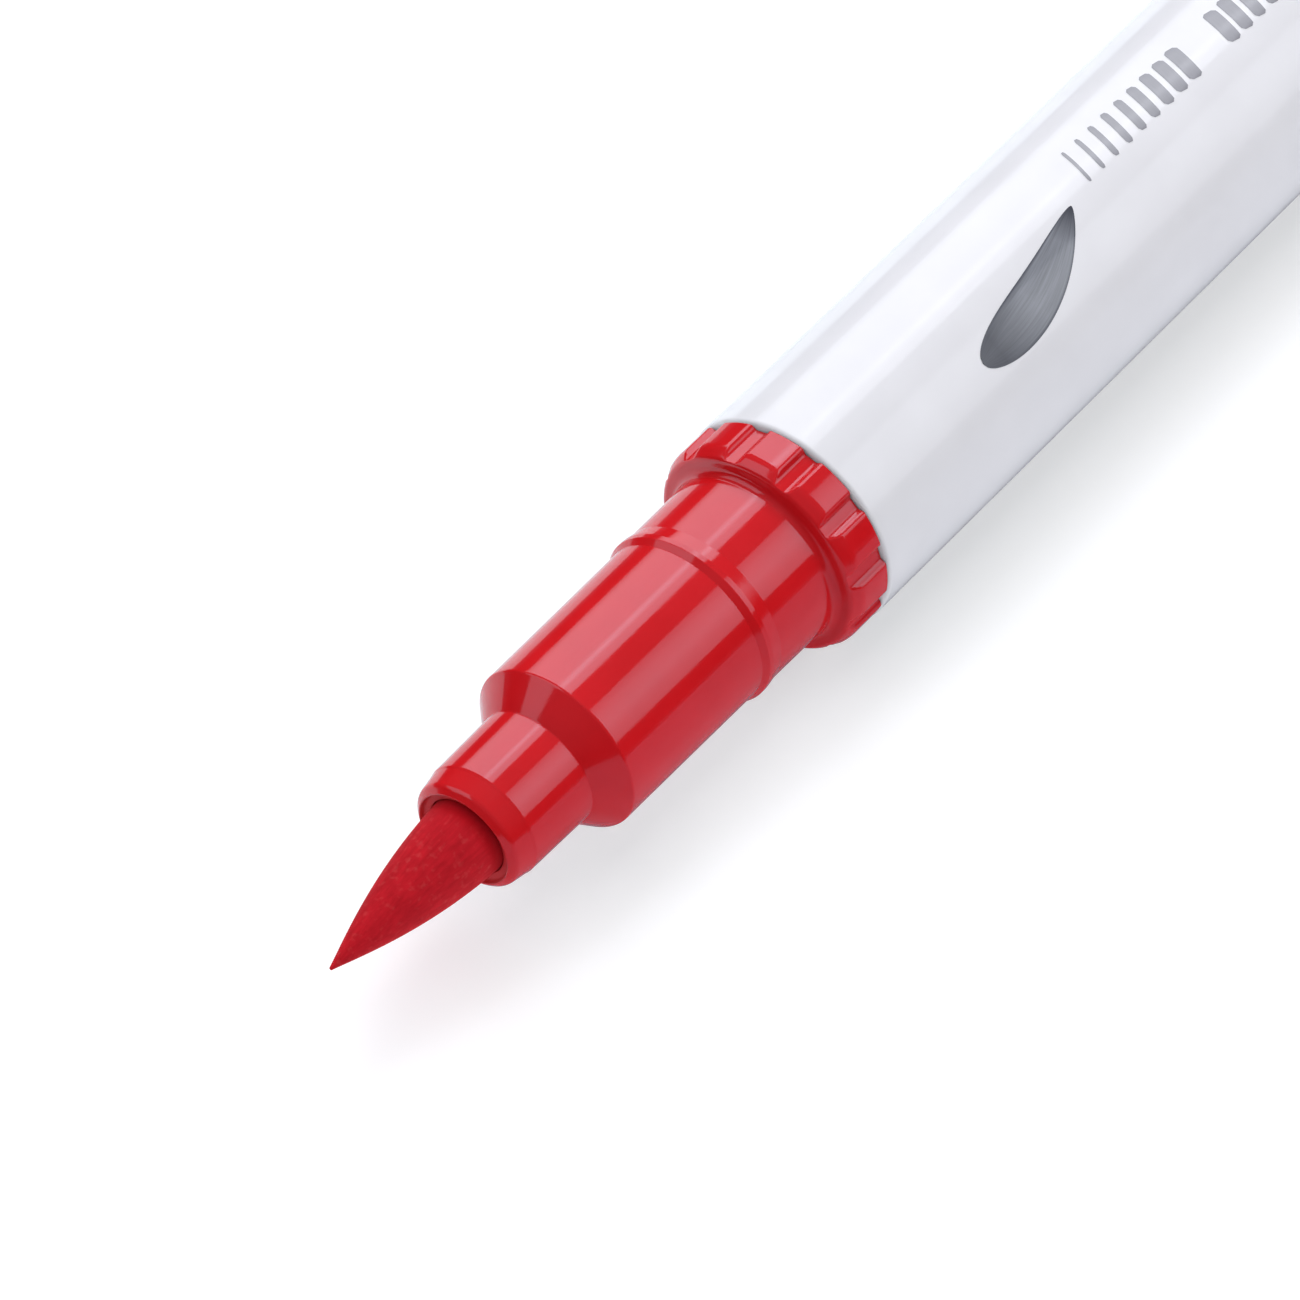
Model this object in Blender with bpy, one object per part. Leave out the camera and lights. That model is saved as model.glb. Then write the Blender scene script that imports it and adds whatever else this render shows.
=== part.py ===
"""A felt-brush pen lying on its side, uncapped, with its cap posted on its tail.

The pen's axis runs along X: the brush tip points to -X and the cap's closed end to +X. The table is
z = 0, and the origin is in the middle of the pen's footprint. Sizes are named in millimetres, and
"ahead" means towards the tip. Pieces are turned about an axis whose x = 0 is the barrel's front edge,
and the cap's pieces about one whose x = 0 is the cap's mouth.
"""
import math

import bmesh
import bpy
from mathutils import Matrix, Vector

MM = 0.001
FIT = 0.3  # gap between a piece and the one it fits
SIDES = 48  # flats around a turned piece
FINE = 0.000001  # merge distance in metres

# Barrel: a white tube with ribs inside that carry the ink reservoir
BARREL_R = 5.5
BARREL_WALL = 0.9
BARREL_LENGTH = 88.0
BARREL_EDGE = 0.2
RIB_COUNT = 6
RIB_WIDTH = 0.8
RIB_HEIGHT = 0.35

# Nose section: collar, land for the cap's mouth, snap bead, body, shoulder, snout and lip
COLLAR_INSET = 0.07  # how far the collar lies under the barrel's surface
COLLAR_BAND = 1.45
COLLAR_SLOPE = 0.65
COLLAR_ROOT = 0.12
NOTCH_COUNT = 12
NOTCH_R = 0.75
NOTCH_DEPTH = 0.3
LOBE_TURN = 28.0  # degrees from the top towards -Y to the middle of a lobe
BEAD_R = 4.46
BEAD_HEIGHT = 0.1
BEAD_FROM_FACE = 3.8
BEAD_LENGTH = 1.2
BODY_R = 4.26
BODY_FRONT_R = 4.2
BODY_LENGTH = 8.9
BODY_WALL = 1.0
SHOULDER_LENGTH = 1.3
SHOULDER_ROUND = 0.2
SNOUT_R = 2.98
SNOUT_FRONT_R = 2.92
SNOUT_LENGTH = 3.7
LIP_WALL = 0.42
LIP_LENGTH = 1.55
LIP_ROUND = 0.25
SPIGOT_LENGTH = 9.0

# Brush nib and the sleeve that holds its shank
NIB_R = 1.95
NIB_EXPOSED = 8.65
NIB_TAPER = 10.5
NIB_SEAT = 3.85  # from the mouth back to the nib's shoulder
NIB_STEPS = 12
SHANK_R = 1.2
SHANK_POINT_R = 0.6
SHANK_POINT = 2.0
SHANK_INTO_INK = 3.7
SLEEVE_LENGTH = 11.0
GROOVE_COUNT = 4
GROOVE_WIDTH = 0.8
GROOVE_DEPTH = 0.5

# Ink reservoir: a fibre core in a film wrapper
FILM_WALL = 0.25

# Tail plug: spigot in the barrel, flange, and a stub that takes the posted cap
FLANGE_LENGTH = 1.5
TAIL_SPIGOT = 10.0
TAIL_WALL = 0.9
STUB_LENGTH = 9.0
STUB_END = 1.0
STUB_CHAMFER = 0.5

# Cap: outer shell, inner sealing cup, clip and crown, from the mouth backwards
CAP_WALL = 0.74
CAP_LENGTH = 36.5
CAP_DRAFT = 0.15
CAP_EDGE = 0.2
TIP_CLEARANCE = 1.5
CUP_WALL = 0.7
CUP_END = 0.8
CROWN_LENGTH = 1.5
CROWN_ROUND = 0.45
CLIP_RING = 1.0
CLIP_RISE = 2.4  # from the cap's surface to the clip's outer face
CLIP_THICKNESS = 1.1
CLIP_WIDTH = 3.2
CLIP_LENGTH = 28.0
CLIP_PAD = 3.0

# Places and radii that follow from the sizes above
BARREL_BORE_R = BARREL_R - BARREL_WALL
RIB_CREST_R = BARREL_BORE_R - RIB_HEIGHT
COLLAR_R = BARREL_R - COLLAR_INSET
LAND_R = BEAD_R - BEAD_HEIGHT
SPIGOT_R = BARREL_BORE_R - FIT
NOSE_BORE_R = BODY_FRONT_R - BODY_WALL
MOUTH_R = NIB_R + FIT
LIP_R = MOUTH_R + LIP_WALL

COLLAR_REAR_X = -FIT
COLLAR_BAND_X = COLLAR_REAR_X - COLLAR_BAND
COLLAR_FACE_X = COLLAR_BAND_X - COLLAR_SLOPE
BEAD_REAR_X = COLLAR_FACE_X - BEAD_FROM_FACE
BEAD_FRONT_X = BEAD_REAR_X - BEAD_LENGTH
SHOULDER_X = BEAD_FRONT_X - BODY_LENGTH
SNOUT_X = SHOULDER_X - SHOULDER_LENGTH
LIP_X = SNOUT_X - SNOUT_LENGTH
MOUTH_X = LIP_X - LIP_LENGTH
NIB_TIP_X = MOUTH_X - NIB_EXPOSED
NIB_SHOULDER_X = MOUTH_X + NIB_SEAT

FILM_R = RIB_CREST_R - FIT
CORE_R = FILM_R - FILM_WALL - FIT
INK_FRONT_X = SPIGOT_LENGTH + FIT
INK_REAR_X = BARREL_LENGTH - TAIL_SPIGOT - FIT

SLEEVE_BORE_R = SHANK_R + FIT
SLEEVE_NECK_R = MOUTH_R - FIT
SLEEVE_BODY_R = NOSE_BORE_R - FIT
SLEEVE_BODY_X = SHOULDER_X + FIT + SHOULDER_ROUND
SLEEVE_REAR_X = SLEEVE_BODY_X + SLEEVE_LENGTH

FLANGE_X = BARREL_LENGTH + FIT
STUB_X = FLANGE_X + FLANGE_LENGTH
STUB_END_X = STUB_X + STUB_LENGTH

CAP_MOUTH_X = STUB_X + FIT
CAP_BORE_R = BEAD_R + FIT
CAP_R = CAP_BORE_R + CAP_WALL
CAP_END_R = CAP_R - CAP_DRAFT
CUP_BORE_R = SNOUT_R + FIT
CUP_R = CUP_BORE_R + CUP_WALL
CUP_SEAT_R = CUP_R + FIT
CUP_MOUTH_X = COLLAR_FACE_X - SNOUT_X
CUP_FLOOR_X = COLLAR_FACE_X - FIT - NIB_TIP_X + TIP_CLEARANCE
CUP_END_X = CUP_FLOOR_X + CUP_END
CROWN_STEM_X = CUP_END_X + FIT
CLIP_RING_X = CAP_LENGTH + FIT
CLIP_RING_END_X = CLIP_RING_X + CLIP_RING
CROWN_X = CLIP_RING_END_X + FIT
CROWN_END_X = CROWN_X + CROWN_LENGTH

CLIP_R = CAP_R + CLIP_RISE
REST_R = max(BARREL_R, CAP_R)
CLIP_CORNER = math.hypot(CLIP_R, CLIP_WIDTH / 2)
CLIP_LEAN = math.atan2(CLIP_WIDTH / 2, CLIP_R)
CLIP_TURN = math.acos(REST_R / CLIP_CORNER) + CLIP_LEAN  # the clip's lower edge meets the table
CLIP_REACH = CLIP_CORNER * math.sin(CLIP_TURN + CLIP_LEAN)

PEN_X = -(NIB_TIP_X + CAP_MOUTH_X + CROWN_END_X) / 2
PEN_Y = (CLIP_REACH - REST_R) / 2

RED = (0.62, 0.012, 0.012)
NIB_RED = (0.46, 0.010, 0.018)
WHITE = (0.86, 0.86, 0.88)
NATURAL = (0.80, 0.79, 0.74)
CLEAR_FILM = (0.70, 0.74, 0.78)
INK_SOAKED = (0.55, 0.02, 0.03)


def clear_scene():
    """Start from an empty scene."""
    for thing in list(bpy.data.objects):
        bpy.data.objects.remove(thing, do_unlink=True)


def finish_of(name, color, roughness, metallic=0.0):
    """Make a plain Principled material."""
    material = bpy.data.materials.new(name)
    material.use_nodes = True
    shader = material.node_tree.nodes["Principled BSDF"]
    shader.inputs["Base Color"].default_value = (*color, 1.0)
    shader.inputs["Roughness"].default_value = roughness
    shader.inputs["Metallic"].default_value = metallic
    return material


def empty_at(name, place, parent=None):
    """Make an empty that carries pieces."""
    empty = bpy.data.objects.new(name, None)
    bpy.context.collection.objects.link(empty)
    empty.parent = parent
    empty.location = Vector(place) * MM
    return empty


def add_piece(name, mesh, material, parent):
    """Put a mesh in the scene as a named piece with smooth round faces."""
    piece = bpy.data.objects.new(name, mesh)
    bpy.context.collection.objects.link(piece)
    piece.parent = parent
    mesh.materials.append(material)
    mesh.shade_smooth()
    mesh.set_sharp_from_angle(angle=math.radians(32))
    return piece


def mesh_from(name, shape):
    """Turn a bmesh into a mesh whose faces point out."""
    bmesh.ops.recalc_face_normals(shape, faces=shape.faces)
    mesh = bpy.data.meshes.new(name)
    shape.to_mesh(mesh)
    shape.free()
    return mesh


def turned(name, outline, material, parent, sides=SIDES):
    """Spin an outline of (x, radius) points about the X axis.

    An outline whose ends lie on the axis is closed by it, and any other is a loop.
    """
    shape = bmesh.new()
    chain = [shape.verts.new((x * MM, 0.0, radius * MM)) for x, radius in outline]
    on_axis = outline[0][1] == 0.0 and outline[-1][1] == 0.0
    ends = zip(chain, chain[1:] if on_axis else chain[1:] + chain[:1])
    edges = [shape.edges.new(pair) for pair in ends]
    bmesh.ops.spin(
        shape,
        geom=chain + edges,
        cent=(0, 0, 0),
        axis=(1, 0, 0),
        angle=math.tau,
        steps=sides,
        use_merge=True,
    )
    bmesh.ops.remove_doubles(shape, verts=shape.verts, dist=FINE)
    return add_piece(name, mesh_from(name, shape), material, parent)


def box_between(shape, low, high, turn=0.0):
    """Add a box between two corners in millimetres, turned about X."""
    low, high = Vector(low) * MM, Vector(high) * MM
    size = Matrix.Diagonal((*(high - low), 1.0))
    place = Matrix.Rotation(turn, 4, "X") @ Matrix.Translation((low + high) / 2) @ size
    bmesh.ops.create_cube(shape, size=1.0, matrix=place)


def guide(name, shape, parent):
    """Make a hidden helper solid that a Boolean uses."""
    mesh = mesh_from(name, shape)
    helper = bpy.data.objects.new(name, mesh)
    bpy.context.collection.objects.link(helper)
    helper.parent = parent
    helper.hide_render = True
    helper.display_type = "WIRE"
    return helper


def combine(piece, helper, operation):
    """Cut a helper from a piece, or join it on."""
    boolean = piece.modifiers.new(helper.name, "BOOLEAN")
    boolean.operation = operation
    boolean.object = helper
    boolean.solver = "EXACT"


def make_nib(material, pen):
    """Brush nib: a pointed head, a shoulder, and a shank that dips into the ink core."""
    head = []
    for step in range(NIB_STEPS + 1):
        along = NIB_TAPER * (step / NIB_STEPS) ** 1.3
        head.append((NIB_TIP_X + along, NIB_R * (1 - (1 - along / NIB_TAPER) ** 2)))
    shank_end = INK_FRONT_X + SHANK_INTO_INK
    shank = [
        (NIB_SHOULDER_X, NIB_R),
        (NIB_SHOULDER_X, SHANK_R),
        (shank_end - SHANK_POINT, SHANK_R),
        (shank_end, SHANK_POINT_R),
        (shank_end, 0.0),
    ]
    return turned("brush_nib", head + shank, material, pen, sides=32)


def bead_outline(face_x, way):
    """The land and snap bead that the cap grips; way is -1 ahead of a face and 1 behind it."""
    start = face_x + way * BEAD_FROM_FACE
    return [
        (start, LAND_R),
        (start + way * BEAD_LENGTH * 0.45, BEAD_R),
        (start + way * BEAD_LENGTH * 0.8, BEAD_R),
        (start + way * BEAD_LENGTH, BODY_R),
    ]


def make_nose(material, pen):
    """Nose section: a stepped shell with a scalloped collar and a spigot for the barrel."""
    outside = [
        (SPIGOT_LENGTH, SPIGOT_R - BARREL_EDGE),
        (SPIGOT_LENGTH - BARREL_EDGE, SPIGOT_R),
        (COLLAR_REAR_X, SPIGOT_R),
        (COLLAR_REAR_X, COLLAR_R),
        (COLLAR_BAND_X, COLLAR_R),
        (COLLAR_FACE_X, LAND_R + COLLAR_ROOT),
        (COLLAR_FACE_X - COLLAR_ROOT, LAND_R),
        *bead_outline(COLLAR_FACE_X, -1),
        (SHOULDER_X, BODY_FRONT_R),
        (SHOULDER_X - SHOULDER_ROUND, BODY_FRONT_R - SHOULDER_ROUND / 3),
        (SNOUT_X, SNOUT_R),
        (LIP_X, SNOUT_FRONT_R),
        (MOUTH_X + LIP_ROUND, LIP_R),
        (MOUTH_X, LIP_R - LIP_ROUND),
    ]
    inside = [
        (MOUTH_X, MOUTH_R),
        (SHOULDER_X + SHOULDER_ROUND, MOUTH_R),
        (SHOULDER_X + SHOULDER_ROUND, NOSE_BORE_R),
        (SPIGOT_LENGTH, NOSE_BORE_R),
    ]
    nose = turned("nose_section", outside + inside, material, pen)
    cutter = bmesh.new()
    length = COLLAR_BAND + COLLAR_SLOPE + 2 * NOTCH_DEPTH
    middle = (COLLAR_REAR_X + COLLAR_FACE_X) / 2
    reach = COLLAR_R - NOTCH_DEPTH + NOTCH_R
    for index in range(NOTCH_COUNT):
        turn = math.radians(LOBE_TURN) + math.tau * (index + 0.5) / NOTCH_COUNT
        place = (
            Matrix.Rotation(turn, 4, "X")
            @ Matrix.Translation(Vector((middle, 0.0, reach)) * MM)
            @ Matrix.Rotation(math.pi / 2, 4, "Y")
        )
        bmesh.ops.create_cone(
            cutter,
            cap_ends=True,
            segments=16,
            radius1=NOTCH_R * MM,
            radius2=NOTCH_R * MM,
            depth=length * MM,
            matrix=place,
        )
    combine(nose, guide("collar_notches", cutter, pen), "DIFFERENCE")
    return nose


def make_sleeve(material, pen):
    """Nib sleeve: it holds the shank in the nose, with grooves that let air past."""
    outline = [
        (NIB_SHOULDER_X + FIT, SLEEVE_BORE_R),
        (NIB_SHOULDER_X + FIT, SLEEVE_NECK_R),
        (SLEEVE_BODY_X, SLEEVE_NECK_R),
        (SLEEVE_BODY_X, SLEEVE_BODY_R),
        (SLEEVE_REAR_X, SLEEVE_BODY_R),
        (SLEEVE_REAR_X, SLEEVE_BORE_R),
    ]
    sleeve = turned("nib_sleeve", outline, material, pen, sides=32)
    cutter = bmesh.new()
    for index in range(GROOVE_COUNT):
        box_between(
            cutter,
            (SLEEVE_BODY_X - FIT, -GROOVE_WIDTH / 2, SLEEVE_BODY_R - GROOVE_DEPTH),
            (SLEEVE_REAR_X + FIT, GROOVE_WIDTH / 2, SLEEVE_BODY_R + GROOVE_DEPTH),
            math.tau * index / GROOVE_COUNT,
        )
    combine(sleeve, guide("sleeve_grooves", cutter, pen), "DIFFERENCE")
    return sleeve


def make_barrel(material, pen):
    """Barrel: a plain tube outside, with ribs inside between the two spigots."""
    outline = [
        (0.0, BARREL_BORE_R),
        (0.0, BARREL_R - BARREL_EDGE),
        (BARREL_EDGE, BARREL_R),
        (BARREL_LENGTH - BARREL_EDGE, BARREL_R),
        (BARREL_LENGTH, BARREL_R - BARREL_EDGE),
        (BARREL_LENGTH, BARREL_BORE_R),
    ]
    barrel = turned("barrel", outline, material, pen)
    ribs = bmesh.new()
    for index in range(RIB_COUNT):
        box_between(
            ribs,
            (INK_FRONT_X, -RIB_WIDTH / 2, RIB_CREST_R),
            (INK_REAR_X, RIB_WIDTH / 2, BARREL_R - BARREL_WALL / 2),
            math.tau * index / RIB_COUNT,
        )
    combine(barrel, guide("barrel_ribs", ribs, pen), "UNION")
    return barrel


def make_reservoir(core_material, film_material, pen):
    """Ink reservoir: a soaked fibre core with a socket for the shank, and its film wrapper."""
    socket_r = SHANK_R + FIT
    socket_end = INK_FRONT_X + SHANK_INTO_INK + FIT
    core = [
        (socket_end, 0.0),
        (socket_end, socket_r),
        (INK_FRONT_X, socket_r),
        (INK_FRONT_X, CORE_R),
        (INK_REAR_X, CORE_R),
        (INK_REAR_X, 0.0),
    ]
    film = [
        (INK_FRONT_X, FILM_R - FILM_WALL),
        (INK_FRONT_X, FILM_R),
        (INK_REAR_X, FILM_R),
        (INK_REAR_X, FILM_R - FILM_WALL),
    ]
    turned("reservoir_core", core, core_material, pen, sides=32)
    turned("reservoir_film", film, film_material, pen, sides=32)


def make_tail_plug(material, pen):
    """Tail plug: it closes the barrel and carries the posted cap on a beaded stub."""
    bore_r = SPIGOT_R - TAIL_WALL
    stub_bore_r = LAND_R - TAIL_WALL
    outline = [
        (BARREL_LENGTH - TAIL_SPIGOT, bore_r),
        (BARREL_LENGTH - TAIL_SPIGOT, SPIGOT_R - BARREL_EDGE),
        (BARREL_LENGTH - TAIL_SPIGOT + BARREL_EDGE, SPIGOT_R),
        (FLANGE_X, SPIGOT_R),
        (FLANGE_X, COLLAR_R),
        (STUB_X - BARREL_EDGE, COLLAR_R),
        (STUB_X, COLLAR_R - BARREL_EDGE),
        (STUB_X, LAND_R),
        *bead_outline(STUB_X, 1),
        (STUB_END_X - STUB_CHAMFER, BODY_R),
        (STUB_END_X, BODY_R - STUB_CHAMFER),
        (STUB_END_X, 0.0),
    ]
    cavity = [
        (STUB_END_X - STUB_END, 0.0),
        (STUB_END_X - STUB_END, stub_bore_r),
        (FLANGE_X, stub_bore_r),
        (FLANGE_X, bore_r),
    ]
    return turned("tail_plug", cavity + outline, material, pen)


def make_cap_shell(material, cap):
    """Cap shell: an open tube that slides over the nose or the tail stub."""
    outline = [
        (0.0, CAP_BORE_R),
        (0.0, CAP_R - CAP_EDGE),
        (CAP_EDGE, CAP_R),
        (CAP_LENGTH, CAP_END_R),
        (CAP_LENGTH, CUP_SEAT_R),
        (CUP_MOUTH_X, CUP_SEAT_R),
        (CUP_MOUTH_X, CAP_BORE_R),
    ]
    return turned("cap_shell", outline, material, cap)


def make_cap_cup(material, cap):
    """Inner cup: it seals on the snout when the pen is capped, and clears the tip."""
    outline = [
        (CUP_FLOOR_X, 0.0),
        (CUP_FLOOR_X, CUP_BORE_R),
        (CUP_MOUTH_X, CUP_BORE_R),
        (CUP_MOUTH_X, CUP_R),
        (CUP_END_X, CUP_R),
        (CUP_END_X, 0.0),
    ]
    return turned("cap_seal_cup", outline, material, cap)


def make_crown(material, cap):
    """Crown: its stem plugs the shell's end and its head holds the clip's ring down."""
    outline = [
        (CROWN_STEM_X, 0.0),
        (CROWN_STEM_X, CUP_R),
        (CROWN_X, CUP_R),
        (CROWN_X, CAP_END_R),
        (CROWN_END_X - CROWN_ROUND, CAP_END_R),
        (CROWN_END_X, CAP_END_R - CROWN_ROUND),
        (CROWN_END_X, 0.0),
    ]
    return turned("cap_crown", outline, material, cap)


def make_clip(material, cap):
    """Clip: a ring on the crown's stem and a springy arm with a pad at its free end."""
    ring = [
        (CLIP_RING_X, CUP_SEAT_R),
        (CLIP_RING_X, CAP_END_R),
        (CLIP_RING_END_X, CAP_END_R),
        (CLIP_RING_END_X, CUP_SEAT_R),
    ]
    clip = turned("cap_clip", ring, material, cap)
    free_x = CLIP_RING_END_X - CLIP_LENGTH
    under_r = CLIP_R - CLIP_THICKNESS
    root_r = (CUP_SEAT_R + CAP_END_R) / 2
    side = [
        (CLIP_RING_END_X, root_r),
        (CLIP_RING_END_X, CLIP_R - CLIP_THICKNESS),
        (CLIP_RING_END_X - CLIP_THICKNESS, CLIP_R),
        (free_x + CLIP_THICKNESS, CLIP_R),
        (free_x, under_r),
        (free_x + CLIP_PAD * 0.35, CAP_R + FIT),
        (free_x + CLIP_PAD * 0.65, CAP_R + FIT),
        (free_x + CLIP_PAD, under_r),
        (CLIP_RING_X - CLIP_THICKNESS, under_r),
        (CLIP_RING_X, CAP_END_R + FIT),
        (CLIP_RING_X, root_r),
    ]
    arm = bmesh.new()
    low = [arm.verts.new(Vector((x, -CLIP_WIDTH / 2, radius)) * MM) for x, radius in side]
    face = arm.faces.new(low)
    pushed = bmesh.ops.extrude_face_region(arm, geom=[face])["geom"]
    verts = [item for item in pushed if isinstance(item, bmesh.types.BMVert)]
    bmesh.ops.translate(arm, verts=verts, vec=(0.0, CLIP_WIDTH * MM, 0.0))
    helper = guide("clip_arm", arm, cap)
    combine(clip, helper, "UNION")
    clip.rotation_euler.x = math.pi - CLIP_TURN
    helper.rotation_euler.x = math.pi - CLIP_TURN
    return clip


def main():
    """Build the pen and the posted cap."""
    clear_scene()
    red = finish_of("red_plastic", RED, 0.28)
    white = finish_of("white_plastic", WHITE, 0.2)
    natural = finish_of("natural_plastic", NATURAL, 0.45)
    nib_felt = finish_of("nib_felt", NIB_RED, 0.85)
    soaked = finish_of("soaked_fibre", INK_SOAKED, 0.9)
    film = finish_of("wrap_film", CLEAR_FILM, 0.3)

    pen = empty_at("pen_axis", (PEN_X, PEN_Y, REST_R))
    make_nib(nib_felt, pen)
    make_nose(red, pen)
    make_sleeve(natural, pen)
    make_barrel(white, pen)
    make_reservoir(soaked, film, pen)
    make_tail_plug(red, pen)

    cap = empty_at("cap_slide", (CAP_MOUTH_X, 0.0, 0.0), pen)
    make_cap_shell(red, cap)
    make_cap_cup(natural, cap)
    make_crown(red, cap)
    make_clip(red, cap)


main()
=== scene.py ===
"""The looks of a felt brush pen that lies on a white table with its cap posted.

The fine meshes are turned and extruded at the CAD model's own places. Sizes are in millimetres
unless a comment says otherwise.
Along the pen, x = 0 is the barrel's front edge and -x is towards the tip. Around it, angles go from
the top (+Z) towards the viewer (-Y).
"""

import math

import bmesh
import bpy
from mathutils import Matrix, Vector


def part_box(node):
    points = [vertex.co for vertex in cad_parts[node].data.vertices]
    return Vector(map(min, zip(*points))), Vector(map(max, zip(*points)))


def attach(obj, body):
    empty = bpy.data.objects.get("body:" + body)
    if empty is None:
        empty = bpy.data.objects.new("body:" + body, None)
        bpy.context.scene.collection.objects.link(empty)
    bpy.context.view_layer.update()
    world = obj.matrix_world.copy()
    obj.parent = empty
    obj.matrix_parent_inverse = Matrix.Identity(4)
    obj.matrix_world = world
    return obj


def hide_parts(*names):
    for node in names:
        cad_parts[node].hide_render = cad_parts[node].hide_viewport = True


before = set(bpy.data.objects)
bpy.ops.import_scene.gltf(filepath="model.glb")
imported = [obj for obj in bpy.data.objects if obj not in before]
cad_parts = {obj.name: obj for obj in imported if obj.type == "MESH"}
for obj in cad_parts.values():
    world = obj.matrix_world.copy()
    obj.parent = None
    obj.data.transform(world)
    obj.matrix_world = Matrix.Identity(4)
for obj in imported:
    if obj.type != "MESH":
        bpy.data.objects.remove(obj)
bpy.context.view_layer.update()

MM = 0.001


def node_span(node):
    """The lowest and highest corners of a CAD node in millimetres."""
    low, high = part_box(node)
    return low / MM, high / MM


# The pen's axis and the places along it, read from the CAD nodes
BARREL_LOW, BARREL_HIGH = node_span("barrel")
SEAM_X = BARREL_LOW.x
AXIS_Y = (BARREL_LOW.y + BARREL_HIGH.y) / 2
AXIS_Z = (BARREL_LOW.z + BARREL_HIGH.z) / 2
BARREL_R = (BARREL_HIGH.z - BARREL_LOW.z) / 2
BARREL_LENGTH = BARREL_HIGH.x - BARREL_LOW.x
MOUTH_X = node_span("nose_section")[0].x - SEAM_X
SPIGOT_END_X = node_span("nose_section")[1].x - SEAM_X
NIB_TIP_X = node_span("brush_nib")[0].x - SEAM_X
NIB_END_X = node_span("brush_nib")[1].x - SEAM_X
NIB_R = (node_span("brush_nib")[1].z - node_span("brush_nib")[0].z) / 2
PLUG_FRONT_X = node_span("tail_plug")[0].x - SEAM_X
STUB_END_X = node_span("tail_plug")[1].x - SEAM_X
CAP_MOUTH_X = node_span("cap_shell")[0].x - SEAM_X
CAP_END_X = node_span("cap_shell")[1].x - SEAM_X
CAP_R = (node_span("cap_shell")[1].z - node_span("cap_shell")[0].z) / 2
CUP_MOUTH_X = node_span("cap_seal_cup")[0].x - SEAM_X
CUP_END_X = node_span("cap_seal_cup")[1].x - SEAM_X
CUP_R = (node_span("cap_seal_cup")[1].z - node_span("cap_seal_cup")[0].z) / 2
CROWN_END_X = node_span("cap_crown")[1].x - SEAM_X
CLIP_FREE_X = node_span("cap_clip")[0].x - SEAM_X
CLIP_END_X = node_span("cap_clip")[1].x - SEAM_X

# Sizes that the CAD model shares
FIT = 0.3
BARREL_WALL = 0.9
BARREL_BORE_R = BARREL_R - BARREL_WALL
SPIGOT_R = BARREL_BORE_R - FIT
RIB_COUNT = 6
RIB_HEIGHT = 0.35
RIB_WIDTH = 0.8
COLLAR_INSET = 0.07
COLLAR_R = BARREL_R - COLLAR_INSET
COLLAR_FACE_X = -2.4
NOTCH_COUNT = 12
NOTCH_DEPTH = 0.3
LOBE_TURN = 28.0
BEAD_R = 4.46
BEAD_HEIGHT = 0.1
LAND_R = BEAD_R - BEAD_HEIGHT
BEAD_FROM_FACE = 3.8
BEAD_LENGTH = 1.2
BODY_R = 4.26
BODY_FRONT_R = 4.2
SNOUT_R = 2.98
SNOUT_FRONT_R = 2.92
LIP_X = -21.3
SNOUT_X = -17.6
SHOULDER_X = -16.3
NOSE_BORE_R = 3.2
NIB_TAPER = 10.5
SHANK_R = 1.2
SHANK_POINT = 2.0
TAIL_WALL = 0.9
FLANGE_LENGTH = 1.5
FLANGE_X = BARREL_LENGTH + FIT
STUB_X = FLANGE_X + FLANGE_LENGTH
STUB_END_WALL = 1.0
CAP_DRAFT = 0.15
CAP_END_R = CAP_R - CAP_DRAFT
CAP_BORE_R = BEAD_R + FIT
CUP_SEAT_R = CUP_R + FIT
CLIP_RISE = 2.4
CLIP_THICKNESS = 1.1
CLIP_WIDTH = 3.2
CLIP_RING = 1.0

# Sizes of the looks alone. Those of the nose are fitted to the photograph and differ a little from
# the CAD model's: the collar is drawn up to the barrel, and the mouth's recess is closed.
COLLAR_REAR_X = -0.05
COLLAR_BAND_X = -1.78
COLLAR_EDGE_X = -2.34
NOTCH_TOP = 6.4  # half of a notch's angle at the surface, in degrees
NOTCH_FLOOR = 3.0  # and at its floor
BEAD_TRIM = 0.03  # how much slimmer the bead and the land's front end are
BEAD_STRETCH = 0.03  # how much longer the bead is
BEAD_REAR_SLOPE = 0.66
BEAD_FRONT_SLOPE = 0.31
BODY_TRIM = 0.02  # the same for the body's rear end
BODY_STRAIGHT = 1.0  # the run behind the shoulder that doesn't taper
LIP_R = 2.73
LIP_STEP = 0.13
LIP_STEP_DROP = 0.04
LIP_SLOPE = 0.3
LIP_SLOPE_DROP = 0.36
MOUTH_BACK = 0.18  # how far the mouth's edge lies behind the CAD model's
RECESS_SIDE = 0.25  # how far the recess's side goes back from the mouth's edge
RECESS_FLOOR = 0.29  # and its floor
RECESS_WIDTH = 0.33  # the recess's width around the nib
RECESS_R = LIP_R - 0.35  # surfaces nearer the axis than this are unpolished
NIB_CLEARANCE = 0.02
NOSE_BORE_X = SHOULDER_X + 0.3
NIB_SHOULDER_X = MOUTH_X + 3.55
NIB_FULLNESS = 0.17  # how much of the ogive's run is already past at the tip
TIP_R = 0.09
TIP_REACH = 0.1
BARREL_TRIM = 0.014  # how far the barrel's skin lies inside the CAD model's radius
PRINT_TRIM = 0.002  # the same for the printed marks, which lie on the skin
CLIP_PAD_X = CLIP_FREE_X + 1.5
CLIP_PAD_END_X = CLIP_FREE_X + 3.2
CLIP_EDGE = 0.28
CLIP_WELD = 0.02  # how far the clip's arm runs into its ring

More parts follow.
